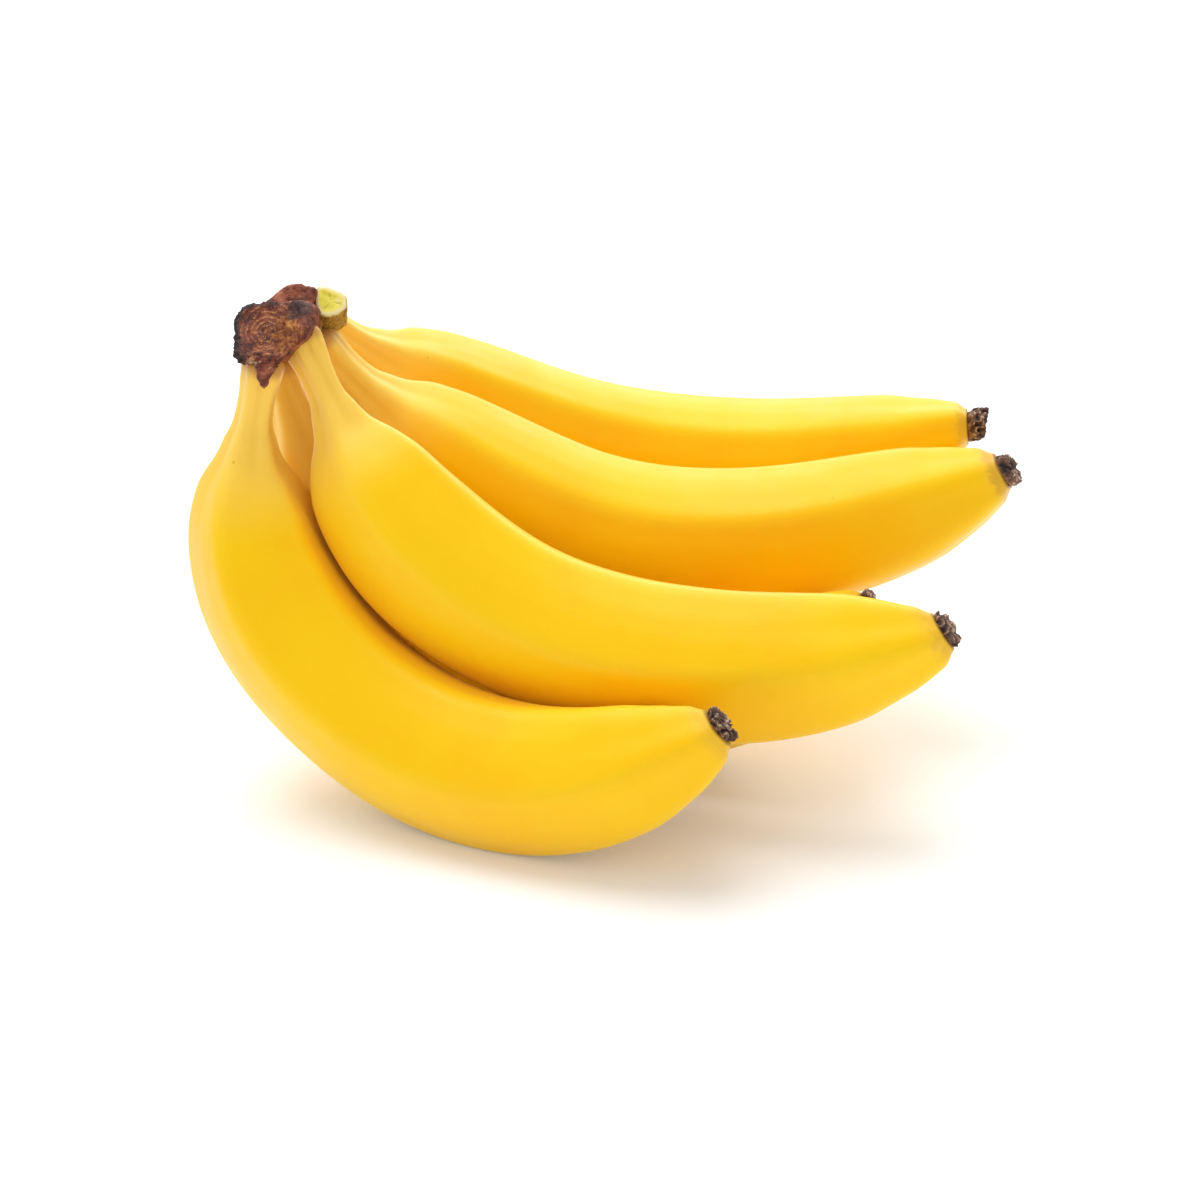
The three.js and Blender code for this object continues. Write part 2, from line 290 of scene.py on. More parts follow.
def spine(finger):
    """The points of a finger's spine and the side direction of its plane, in metres."""
    heading = math.radians(finger["heading"])
    lean = math.radians(finger["lean"])
    ahead = Vector((math.cos(heading), math.sin(heading), 0))
    side = ahead.cross(Vector((0, 0, 1)))
    rise = Vector((0, 0, math.cos(lean))) + side * math.sin(lean)
    step = finger["length"] * MM / SPINE_STEPS
    angle = math.radians(finger["start"])
    points = [Vector(finger["root"]) * MM]
    for i in range(SPINE_STEPS):
        turn = math.radians(bend_at(finger["bend"], (i + 0.5) / SPINE_STEPS)) / SPINE_STEPS
        middle = angle + turn / 2
        points.append(points[-1] + (ahead * math.cos(middle) + rise * math.sin(middle)) * step)
        angle += turn
    return points, rise.cross(ahead)


def spine_object(finger):
    """A mesh object that holds a spine's points, for the trees to read as a curve, and the tree inputs that
    say how a section stands on it."""
    points, side = spine(finger)
    mesh = bpy.data.meshes.new("spine")
    mesh.from_pydata([tuple(p) for p in points], [], [])
    curl, sideways = (math.tan(math.radians(angle)) for angle in finger["slant"])
    return new_object("spine", mesh), {
        "Side": side, "Tip": finger["tip"], "Slant curl": curl, "Slant side": sideways}


def round_spine(tree, given, share, around):
    """Strings a spine's points into a curve. Returns the place and direction at a share of it and, for an
    angle round it, the way out and the angle's cosine and sine."""
    side = given["Side"]
    points = add(tree, "GeometryNodeMeshToPoints", {"Mesh": given["Geometry"]})
    order = add(tree, "GeometryNodeInputIndex")
    curve = add(tree, "GeometryNodePointsToCurves", {"Points": points, "Weight": order})
    here = add(tree, "GeometryNodeSampleCurve", {"Curves": curve, "Factor": share},
               mode="FACTOR", use_all_curves=False)
    along = here.outputs["Tangent"]
    curl = add(tree, VECTOR, (along, side), operation="CROSS_PRODUCT")
    forward = add(tree, MATH, (around,), operation="COSINE")
    sideways = add(tree, MATH, (around,), operation="SINE")
    out = add(tree, VECTOR, (side, sideways, add(tree, VECTOR, (curl, forward), operation="MULTIPLY")),
              operation="MULTIPLY_ADD")
    return here.outputs["Position"], along, out, forward, sideways


def unit_tube(tree, sides, rings, fill):
    """A closed tube of radius and height 1, with its height, its angle and its distance from the axis."""
    tube = add(tree, "GeometryNodeMeshCylinder", {
        "Vertices": sides, "Side Segments": rings, "Fill Segments": fill, "Radius": 1.0, "Depth": 1.0},
        fill_type="TRIANGLE_FAN")
    x, y, z = add(tree, "ShaderNodeSeparateXYZ", (add(tree, "GeometryNodeInputPosition"),)).outputs
    up = add(tree, MATH, (z, 0.5), operation="ADD")
    around = add(tree, MATH, (add(tree, MATH, (y, x), operation="ARCTAN2"), -1.0), operation="MULTIPLY")
    flat = add(tree, "ShaderNodeCombineXYZ", (x, y))
    out = add(tree, VECTOR, (flat,), operation="LENGTH").outputs["Value"]
    return tube.outputs["Mesh"], up, around, out


def tilted(tree, place, direction, out, reach, forward, sideways, fade, given):
    """A point of a section: reach out from the spine, and ahead along it as the section slants."""
    slope = add(tree, MATH, (given["Slant side"], sideways, add(
        tree, MATH, (given["Slant curl"], forward), operation="MULTIPLY")), operation="MULTIPLY_ADD")
    ahead = add(tree, MATH, (add(tree, MATH, (slope, reach), operation="MULTIPLY"), fade),
                operation="MULTIPLY")
    level = add(tree, VECTOR, (out, reach, place), operation="MULTIPLY_ADD")
    return add(tree, VECTOR, (direction, ahead, level), operation="MULTIPLY_ADD")


def bent_mesh(tree, mesh, position, values):
    """A mesh with its points moved, and with values kept on them, under names, for the material to read."""
    for name, value in values.items():
        mesh = add(tree, "GeometryNodeStoreNamedAttribute", {"Geometry": mesh, "Name": name, "Value": value},
                   data_type="FLOAT_VECTOR" if name == "skin" else "FLOAT", domain="POINT")
    return add(tree, "GeometryNodeSetPosition", {"Geometry": mesh, "Position": position})


def peel_tree():
    """A finger's peel: a rounded pentagon swept along the spine, with its girth, lumps and flat belly."""
    tree, given = geometry_tree("Banana peel", {
        "Vector": ("Side",),
        "Float": ("Girth", "Neck", "Length", "Tip", "Worn", "Slant curl", "Slant side", "Roll", "Ridge",
                  "Edge", "Lumps", "Seed"),
        "Int": ("Rings", "Sides"),
        "Material": ("Material",)})
    tube, up, around, cap = unit_tube(tree, given["Sides"], given["Rings"], PEEL_CAP_RINGS)
    share = add(tree, MATH, (up, given["Tip"]), operation="MULTIPLY")
    place, along, out, forward, sideways = round_spine(tree, given, share, around)
    # The girth along the finger, with its own neck and a domed root
    girth = add(tree, CURVE, {"Value": add(tree, MATH, (share, given["Tip"]), operation="DIVIDE")},
                [(part, size / GIRTH_TOP) for part, size in GIRTH])
    swelling = add(tree, RANGE, (share, *NECK[:2], 0.0, 1.0), interpolation_type=SMOOTH)
    easing = add(tree, RANGE, (share, *NECK[2:], 1.0, 0.0), interpolation_type=SMOOTH)
    neck = add(tree, RANGE, (add(tree, MATH, (swelling, easing), operation="MULTIPLY"), 0.0, 1.0, 1.0,
                             given["Neck"]))
    radius = add(tree, MATH, (add(tree, MATH, (girth, given["Girth"]), operation="MULTIPLY"),
                              add(tree, MATH, (neck, GIRTH_TOP * MM), operation="MULTIPLY")),
                 operation="MULTIPLY")
    from_root = add(tree, MATH, (share, given["Length"]), operation="MULTIPLY")
    short = add(tree, RANGE, (from_root, 0.0, ROOT_DOME, 1.0, 0.0))
    rounded = add(tree, MATH, (add(tree, MATH, (1.0, add(
        tree, MATH, (short, short), operation="MULTIPLY")), operation="SUBTRACT"),), operation="SQRT")
    dome = add(tree, MATH, (rounded, ROOT_END), operation="MAXIMUM")
    to_end = add(tree, MATH, (add(tree, MATH, (given["Tip"], share), operation="SUBTRACT"), given["Length"]),
                 operation="MULTIPLY")
    lip = add(tree, RANGE, (to_end, 0.0, LIP, LIP_END, 1.0), interpolation_type=SMOOTH)
    ends = add(tree, MATH, (dome, lip), operation="MULTIPLY")
    # Five ridges: one wave for the pentagon and two finer ones that sharpen its edges
    turned = add(tree, MATH, (around, given["Roll"]), operation="SUBTRACT")
    waves = []
    for count, size in RIDGE_WAVES:
        wave = add(tree, MATH, (add(tree, MATH, (turned, count), operation="MULTIPLY"),), operation="COSINE")
        waves.append(add(tree, MATH, (wave, size), operation="MULTIPLY"))
    ridge, *finer = waves
    crispness = add(tree, RANGE, (share, *CRISP_FROM, SOFT, given["Edge"]), interpolation_type=SMOOTH)
    softer = add(tree, RANGE, (share, *CRISP_TO, 1.0, SOFT), interpolation_type=SMOOTH)
    section = add(tree, MATH, (add(tree, MATH, finer, operation="ADD"), add(
        tree, MATH, (crispness, softer), operation="MULTIPLY"), ridge), operation="MULTIPLY_ADD")
    standing = add(tree, CURVE, {"Value": share}, [(part, size / RIDGE_TOP) for part, size in RIDGES])
    height = add(tree, MATH, (standing, given["Ridge"]), operation="MULTIPLY")
    tall = add(tree, MATH, (height, RIDGE_TOP), operation="MULTIPLY")
    swell = add(tree, MATH, (section, tall, 1.0), operation="MULTIPLY_ADD")
    # The unbent finger's own coordinates, seamless round it, for the lumps and the peel's pattern
    unbent = add(tree, "ShaderNodeCombineXYZ", (
        add(tree, MATH, (forward, radius), operation="MULTIPLY"),
        add(tree, MATH, (sideways, radius), operation="MULTIPLY"), from_root))
    skin = add(tree, VECTOR, (unbent, given["Seed"]), operation="ADD")
    lumps = add(tree, NOISE, {"Vector": skin, **LUMP_NOISE})
    uneven = add(tree, MATH, (add(tree, MATH, (lumps, 0.5), operation="SUBTRACT"), given["Lumps"]),
                 operation="MULTIPLY")
    # Furrows down the stalk, 3 mm apart
    drawn_out = add(tree, VECTOR, (skin, (1.0, 1.0, 0.12)), operation="MULTIPLY")
    furrow = add(tree, NOISE, {"Vector": drawn_out, **FURROW_NOISE})
    on_stalk = add(tree, RANGE, (share, *STALK_END, FURROW, 0.0), interpolation_type=SMOOTH)
    furrows = add(tree, MATH, (add(tree, MATH, (furrow, 0.5), operation="SUBTRACT"), on_stalk),
                  operation="MULTIPLY")
    rough = add(tree, MATH, (uneven, furrows), operation="ADD")
    bumpy = add(tree, MATH, (radius, swell, rough), operation="MULTIPLY_ADD")
    capped = add(tree, MATH, (ends, cap), operation="MULTIPLY")
    reach = add(tree, MATH, (bumpy, capped), operation="MULTIPLY")
    fade = add(tree, RANGE, (share, SLANT_FROM, given["Tip"], 0.0, 1.0), interpolation_type=SMOOTH)
    target = tilted(tree, place, along, out, reach, forward, sideways, fade, given)
    # The belly is pressed flat where it would dip under the table
    lying = add(tree, VECTOR, (target, LOWEST), operation="MAXIMUM")
    bent = bent_mesh(tree, tube, lying, {
        "along": share, "skin": skin, "ridge": ridge, "to_end": to_end, "worn": given["Worn"]})
    finish_tree(tree, bent, given["Material"])
    return tree


def blossom_tree():
    """The dried blossom on a tip: a short lobed cap with a hollow end, crumpled into sharp folds."""
    tree, given = geometry_tree("Dried blossom", {
        "Vector": ("Side",),
        "Float": ("Tip", "Slant curl", "Slant side", "Radius", "Length", "Lobes", "Notch", "Turn", "Crumple",
                  "Seed"),
        "Material": ("Material",)})
    tube, up, around, cap = unit_tube(tree, BLOSSOM_SIDES, BLOSSOM_RINGS, BLOSSOM_CAP_RINGS)
    profile = add(tree, CURVE, {"Value": up}, BLOSSOM_PROFILE)
    wave = add(tree, MATH, (add(tree, MATH, (around, given["Lobes"], given["Turn"]),
                                operation="MULTIPLY_ADD"),), operation="COSINE")
    folded = add(tree, MATH, (add(tree, MATH, (add(tree, MATH, (1.0, wave), operation="SUBTRACT"),
                                               given["Notch"]), operation="MULTIPLY"), up),
                 operation="MULTIPLY")
    wide = add(tree, MATH, (profile, add(tree, MATH, (1.0, folded), operation="SUBTRACT")),
               operation="MULTIPLY")
    reach = add(tree, MATH, (add(tree, MATH, (wide, cap), operation="MULTIPLY"), given["Radius"]),
                operation="MULTIPLY")
    # The far end sinks in towards the middle, and one side of it stands higher
    sunk = add(tree, RANGE, (cap, 0.0, 0.9, BLOSSOM_HOLLOW, 0.0), interpolation_type=SMOOTH)
    one_side = add(tree, MATH, (add(tree, MATH, (around, given["Turn"]), operation="ADD"),),
                   operation="COSINE")
    drop = add(tree, MATH, (one_side, BLOSSOM_TILT, sunk), operation="MULTIPLY_ADD")
    rise = add(tree, MATH, (add(tree, MATH, (1.0, drop), operation="SUBTRACT"), up), operation="MULTIPLY")
    height = add(tree, MATH, (rise, given["Length"]), operation="MULTIPLY")
    place, along, out, forward, sideways = round_spine(tree, given, given["Tip"], around)
    smooth = tilted(tree, place, along, out, reach, forward, sideways, 1.0, given)
    target = add(tree, VECTOR, (along, height, smooth), operation="MULTIPLY_ADD")
    # Folds: sharp crests about 3 mm and 1 mm apart, with hollows between
    field = add(tree, VECTOR, (target, given["Seed"]), operation="ADD")
    crests = []
    for scale, sharp, size in FOLDS:
        cloud = add(tree, NOISE, {"Vector": field, "Scale": scale, "Detail": 0.5, "Distortion": 0.9})
        off = add(tree, MATH, (add(tree, MATH, (cloud, 0.5), operation="SUBTRACT"),), operation="ABSOLUTE")
        steep = add(tree, MATH, (off, sharp), operation="MULTIPLY")
        crest = add(tree, RANGE, (steep, 0.0, 1.0, 1.0, 0.0))
        crests.append(add(tree, MATH, (crest, size), operation="MULTIPLY"))
    fold = add(tree, MATH, crests, operation="ADD")
    loose = add(tree, RANGE, (up, 0.0, BLOSSOM_LOOSE, 0.15, 1.0))
    push = add(tree, MATH, (add(tree, MATH, (fold, FOLD_LEVEL), operation="SUBTRACT"), add(
        tree, MATH, (loose, given["Crumple"]), operation="MULTIPLY")), operation="MULTIPLY")
    edge = add(tree, MATH, (cap, cap), operation="MULTIPLY")
    away = add(tree, VECTOR, (out, edge, along), operation="MULTIPLY_ADD")
    pushed = add(tree, VECTOR, (away, push, target), operation="MULTIPLY_ADD")
    grit = add(tree, NOISE, {"Vector": field, "Scale": 900.0, "Detail": 3.0}).outputs["Color"]
    shake = add(tree, VECTOR, (grit, (0.5, 0.5, 0.5)), operation="SUBTRACT")
    crumpled = add(tree, VECTOR, (shake, add(tree, MATH, (loose, GRIT), operation="MULTIPLY"), pushed),
                   operation="MULTIPLY_ADD")
    bent = bent_mesh(tree, tube, crumpled, {"fold": fold, "up": up})
    finish_tree(tree, bent, given["Material"])
    return tree


def fibre_tree():
    """The ends of the crown's fibres: small knobs in rows of arcs over its cut face."""
    tree, given = geometry_tree("Fibre ends", {
        "Float": ("Spacing", "Size"), "Int": ("Seed",), "Material": ("Material",)})
    arcs = add(tree, "GeometryNodeInputNamedAttribute", {"Name": "arcs"}, data_type="FLOAT")
    chosen = add(tree, "FunctionNodeCompare", (arcs, 0.5), data_type="FLOAT", operation="GREATER_THAN")
    points = add(tree, "GeometryNodeDistributePointsOnFaces", {
        "Mesh": given["Geometry"], "Selection": chosen, "Distance Min": given["Spacing"],
        "Density Max": 6e6, "Seed": given["Seed"]}, distribute_method="POISSON")
    knob = add(tree, "GeometryNodeMeshIcoSphere", {"Radius": given["Size"], "Subdivisions": 1})
    width = add(tree, "FunctionNodeRandomValue", {"Min": (0.6, 0.6, 0.6), "Max": (1.2, 1.6, 1.6),
                                                  "Seed": given["Seed"]}, data_type="FLOAT_VECTOR")
    placed = add(tree, "GeometryNodeInstanceOnPoints", {
        "Points": points, "Instance": knob.outputs["Mesh"],
        "Rotation": points.outputs["Rotation"], "Scale": width})
    finish_tree(tree, placed, given["Material"])
    return tree


def new_material(name):
    """A node material. Returns the material, its tree and its Principled BSDF."""
    material = bpy.data.materials.new(name)
    material.use_nodes = True
    tree = material.node_tree
    return material, tree, tree.nodes["Principled BSDF"]


def coated(tree, colour, layers):
    """Lays colours over one another. Each layer has its colour and the masks that say where it shows. A mask
    is a value, or a tuple of a value, low, high and most: it rises from 0 at low to most, or 1, at high."""
    for over, *masks in layers:
        for i, mask in enumerate(masks):
            if isinstance(mask, tuple):
                value, low, high, most = (*mask, 1.0)[:4]
                masks[i] = add(tree, RANGE, (value, low, high, 0.0, most), interpolation_type=SMOOTH)
        shown = masks[0]
        for mask in masks[1:]:
            shown = add(tree, MATH, (shown, mask), operation="MULTIPLY")
        if isinstance(over, str):
            over = rgba(over)
        colour = add(tree, MIX, {0: shown, 6: colour, 7: over}, data_type="RGBA")
    return colour


def peel_material(look):
    """Ripe banana peel: a smooth, waxy skin over five ribs, with pores and fibres that run lengthwise."""
    material, tree, shader = new_material("Banana peel, ripe and waxy")
    skin = add(tree, ATTRIBUTE, attribute_name="skin").outputs["Vector"]
    along, ridge, to_end, worn = (add(tree, ATTRIBUTE, attribute_name=name).outputs["Fac"]
                                  for name in ("along", "ridge", "to_end", "worn"))
    # Wide, soft clouds of a deeper yellow
    clouds = add(tree, NOISE, {"Vector": skin, "Scale": 26.0, "Detail": 3.0})
    # Fibres about 0.5 mm apart that run the length of the finger
    lengthwise = add(tree, VECTOR, (skin, (1.0, 1.0, 0.04)), operation="MULTIPLY")
    fibres = add(tree, NOISE, {"Vector": lengthwise, "Scale": 2000.0, "Detail": 2.0})
    streaks = add(tree, NOISE, {"Vector": lengthwise, "Scale": 420.0, "Detail": 3.0})
    ragged = add(tree, NOISE, {"Vector": skin, "Scale": 420.0, "Detail": 4.0, "Roughness": 0.65})
    # The end's scuffs reach up the peel for a few millimetres
    scuffed = add(tree, MATH, (add(tree, MATH, (ragged, 0.008), operation="MULTIPLY"), to_end),
                  operation="SUBTRACT")
    # A few brown freckles under 1 mm
    specks = add(tree, "ShaderNodeTexVoronoi", {"Vector": skin, "Scale": 95.0}, feature="F1")
    some = add(tree, NOISE, {"Vector": skin, "Scale": 40.0, "Detail": 0.0})
    colour = coated(tree, (*look.ripe, 1.0), (
        ((*look.deep, 1.0), (clouds, 0.35, 0.7, 0.5)),
        ("#FFD820", (fibres, 0.5, 0.75, 0.1)),
        # The ribs are painted a lighter yellow: a painted highlight along each ridge
        ("#FFDC30", (ridge, 0.6, 1.0, 0.14)),
        ("#FFD46A", (along, 0.24, 0.09, 0.7)),
        # A deeper ochre in the grooves of the neck: painted shade
        ("#E6B020", (along, 0.18, 0.1), (ridge, -0.2, -1.0, 0.2)),
        ("#C08A38", (along, 0.06, 0.02), (streaks, 0.42, 0.7, 0.45)),
        ("#C88A4A", (along, 0.028, 0.014, 0.8)),
        ("#F2BE3C", (to_end, 0.006, 0.001, 0.4)),
        ("#A8703C", (scuffed, 0.0006, 0.0024), worn),
        ("#5E3E2A", (to_end, 0.0004, 0.0001, 0.5)),
        ("#8A5A1C", (specks.outputs["Distance"], 0.05, 0.024, 0.3), (some, 0.62, 0.68)),
    ))
    # Pores about 0.6 mm across, and the fibres as faint furrows
    pores = add(tree, NOISE, {"Vector": skin, "Scale": 1500.0, "Detail": 3.0, "Roughness": 0.6})
    relief = add(tree, BUMP, {"Height": pores, "Distance": 0.2 * MM, "Strength": 0.1})
    relief = add(tree, BUMP, {"Height": fibres, "Distance": 0.2 * MM, "Strength": 0.16, "Normal": relief})
    waxy = add(tree, NOISE, {"Vector": skin, "Scale": 120.0, "Detail": 3.0})
    gloss = add(tree, RANGE, (waxy, 0.3, 0.7, 0.36, 0.48))
    # The sheen is the wax bloom, a pale veil where the light grazes
    connect(tree, shader, {
        "Base Color": colour, "Normal": relief, "Roughness": gloss, "IOR": 1.45,
        "Specular Tint": rgba("#FFE4AC"),
        "Sheen Weight": 0.1, "Sheen Roughness": 0.5, "Sheen Tint": rgba("#FFF0C8"),
        "Subsurface Weight": 0.15, "Subsurface Radius": (1.0, 0.55, 0.08), "Subsurface Scale": 3.0 * MM})
    return material


def crown_material():
    """Dried crown: cut plant pith that has shrunk and browned in the air, with a nearly black rim."""
    material, tree, shader = new_material("Dried banana crown, cut pith")
    place = add(tree, "ShaderNodeTexCoord").outputs["Object"]
    marks = {name: add(tree, ATTRIBUTE, attribute_name=name).outputs["Fac"] for name in CROWN_MARKS}
    # Rust-brown skin with darker and redder patches some 3 mm wide
    patches = add(tree, NOISE, {"Vector": place, "Scale": 330.0, "Detail": 4.0, "Roughness": 0.6})
    bark = add(tree, RAMP, (patches,), (
        (0.32, "#3E1A14"), (0.46, "#74341F"), (0.58, "#A0563A"), (0.72, "#B97A58")))
    fine = add(tree, NOISE, {"Vector": place, "Scale": 420.0, "Detail": 5.0, "Roughness": 0.65})
    face = add(tree, RAMP, (fine,), (
        (0.34, "#3A170F"), (0.45, "#722F1A"), (0.56, "#9C4E28"), (0.68, "#C27E42")))
    crumbs = add(tree, RAMP, (fine,), (
        (0.36, "#5A2814"), (0.47, "#8E4A1C"), (0.58, "#B87430"), (0.68, "#D09A58")))
    # Dry fibres 0.4 mm apart, and green skin behind the pad where the stalks begin
    flattened = add(tree, VECTOR, (place, (1.0, 1.0, 0.14)), operation="MULTIPLY")
    fibres = add(tree, NOISE, {"Vector": flattened, "Scale": 2600.0, "Detail": 3.0, "Roughness": 0.7})
    skin = add(tree, RAMP, (fibres,), ((0.36, "#7A5A1E"), (0.5, "#B08C30"), (0.64, "#CDB04A")))
    colour = coated(tree, bark, (
        (skin, marks["back"]),
        (face, marks["cut"]),
        ("#7A2E22", marks["strip"], (fine, 0.4, 0.6, 0.8)),
        (crumbs, marks["crumb"]),
        ("#3A150D", (marks["rings"], 0.02, 0.3, 0.6), (marks["rings"], 0.62, 0.3)),
        ("#C9965E", (marks["rings"], 0.78, 0.97, 0.8), (fine, 0.44, 0.56)),
        ("#26120F", marks["rim"]),
        ("#C89A6C", (fibres, 0.6, 0.74, 0.5)),
        ("#D8B88C", marks["torn"], (fine, 0.54, 0.66, 0.6)),
    ))
    relief = add(tree, BUMP, {"Height": fine, "Distance": 0.9 * MM, "Strength": 0.7})
    relief = add(tree, BUMP, {"Height": fibres, "Distance": 0.4 * MM, "Strength": 0.5, "Normal": relief})
    connect(tree, shader, {"Base Color": colour, "Normal": relief, "Roughness": 0.66, "IOR": 1.45})
    return material


def fibre_material():
    """Fibre ends: stiff, straw-coloured strands that stand out of the shrunken pith."""
    material, tree, shader = new_material("Fibre ends, dry straw")
    place = add(tree, "ShaderNodeTexCoord").outputs["Object"]
    shade = add(tree, NOISE, {"Vector": place, "Scale": 900.0, "Detail": 1.0})
    colour = add(tree, RAMP, (shade,), ((0.35, "#7A4A22"), (0.5, "#A8743A"), (0.65, "#D0A060")))
    connect(tree, shader, {"Base Color": colour, "Roughness": 0.65, "IOR": 1.45})
    return material


def blossom_material():
    """Dried blossom: papery grey-brown, with painted shade in the fold hollows and painted highlights on the
    crests.
    """
    material, tree, shader = new_material("Dried blossom, papery")
    place = add(tree, "ShaderNodeTexCoord").outputs["Object"]
    fold, up = (add(tree, ATTRIBUTE, attribute_name=name).outputs["Fac"] for name in ("fold", "up"))
    grain = add(tree, NOISE, {"Vector": place, "Scale": 1100.0, "Detail": 4.0, "Roughness": 0.65})
    # Its own grey-brown, painted nearly black towards the hollows of the folds as shade and lighter towards
    # the crests
    paper = add(tree, RAMP, (fold,), (
        (0.03, "#24160F"), (0.25, "#4C3328"), (0.55, "#704F3D"), (0.9, "#9A7A64")))
    colour = coated(tree, paper, (
        # The pale crests of the folds: a painted highlight
        ("#D8BFA8", (fold, 0.66, 0.95, 0.85), (grain, 0.42, 0.56)),
        ("#2A1B17", (grain, 0.48, 0.36, 0.55)),
        ("#A8703C", (up, 0.45, 0.02, 0.7), (grain, 0.38, 0.56)),
    ))
    relief = add(tree, BUMP, {"Height": grain, "Distance": 0.4 * MM, "Strength": 0.7})
    connect(tree, shader, {"Base Color": colour, "Normal": relief, "Roughness": 0.6, "IOR": 1.45})
    return material


def stub_material():
    """Fresh cut stub: moist yellow-green pith inside a cream rim, on an olive-brown skin."""
    material, tree, shader = new_material("Fresh cut pith")
    place = add(tree, "ShaderNodeTexCoord").outputs["Object"]
    clouds = add(tree, NOISE, {"Vector": place, "Scale": 240.0, "Detail": 3.0})
    pith = add(tree, RAMP, (clouds,), ((0.38, "#DACA38"), (0.55, "#E8D84C"), (0.7, "#F0E48C")))
    upright = add(tree, VECTOR, (place, (1.0, 1.0, 0.2)), operation="MULTIPLY")
    streaks = add(tree, NOISE, {"Vector": upright, "Scale": 1500.0, "Detail": 3.0, "Roughness": 0.6})
    skin = add(tree, RAMP, (streaks,), (
        (0.36, "#785C20"), (0.5, "#9C8036"), (0.62, "#B89646"), (0.75, "#D6B46C")))
    cut, rim, rays = (add(tree, ATTRIBUTE, attribute_name=name).outputs["Fac"] for name in STUB_MARKS)
    colour = coated(tree, skin, ((pith, cut), ("#EAD79A", cut, rim), ("#B9AE2A", cut, rays)))
    tooth = add(tree, NOISE, {"Vector": place, "Scale": 1800.0, "Detail": 3.0})
    relief = add(tree, BUMP, {"Height": tooth, "Distance": 0.2 * MM, "Strength": 0.35})
    connect(tree, shader, {
        "Base Color": colour, "Normal": relief, "Roughness": 0.5, "IOR": 1.4,
        "Subsurface Weight": 0.2, "Subsurface Radius": (1.0, 0.8, 0.2), "Subsurface Scale": 2.0 * MM})
    return material


def paper_material():
    """Seamless white paper: matt and pale, so that it only takes the soft shadow."""
    material, tree, shader = new_material("Seamless paper, white")
    place = add(tree, "ShaderNodeTexCoord").outputs["Object"]
    tooth = add(tree, NOISE, {"Vector": place, "Scale": 900.0, "Detail": 2.0})
    colour = coated(tree, rgba("#FAF9F8"), (("#FFFFFF", tooth),))
    # The glow takes the yellow cast off the floor round the fruit
    connect(tree, shader, {"Base Color": colour, "Roughness": 0.9,
                           "Emission Color": rgba("#A8D6FF"), "Emission Strength": PAPER_GLOW})
    return material


def crown_frame():
    """The matrix from the crown's own frame, in mm, to the part's frame, in metres."""
    turn = Matrix.Rotation(math.radians(90 - CROWN_LEAN), 4, "X")
    return Matrix.Translation(Vector(CROWN_AT) * MM) @ turn @ Matrix.Scale(MM, 4)


def rim_distance(rim, x, y):
    """How far a point lies inside a closed outline, in mm, and below zero outside it."""
    nearest = 1e9
    inside = False
    here = Vector((x, y))
    for i, first in enumerate(rim):
        second = rim[(i + 1) % len(rim)]
        a = Vector(first)
        b = Vector(second)
        along = b - a
        part = max(0.0, min(1.0, (here - a).dot(along) / along.length_squared))
        nearest = min(nearest, (here - a - along * part).length)
        if (a.y > y) != (b.y > y) and x < a.x + (y - a.y) * along.x / along.y:
            inside = not inside
    return nearest if inside else -nearest


def smooth_step(value, low, high):
    part = max(0.0, min(1.0, (value - low) / (high - low)))
    return part * part * (3 - 2 * part)


def remeshed_node(node, name, voxel, rounds):
    """A fine, closed copy of a frame node: merged, remeshed in small voxels and smoothed."""
    source = new_object(name + "_source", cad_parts[node].data.copy())
    work = bmesh.new()
    work.from_mesh(source.data)
    bmesh.ops.remove_doubles(work, verts=work.verts, dist=1e-6)
    bmesh.ops.recalc_face_normals(work, faces=work.faces)
    work.to_mesh(source.data)
    work.free()
    source.data.materials.clear()
    remesh = source.modifiers.new("Remesh", "REMESH")
    remesh.mode = "VOXEL"
    remesh.voxel_size = voxel
    relax = source.modifiers.new("Smooth", "SMOOTH")
    relax.factor = 0.5
    relax.iterations = rounds
    return plain_mesh(source, name)


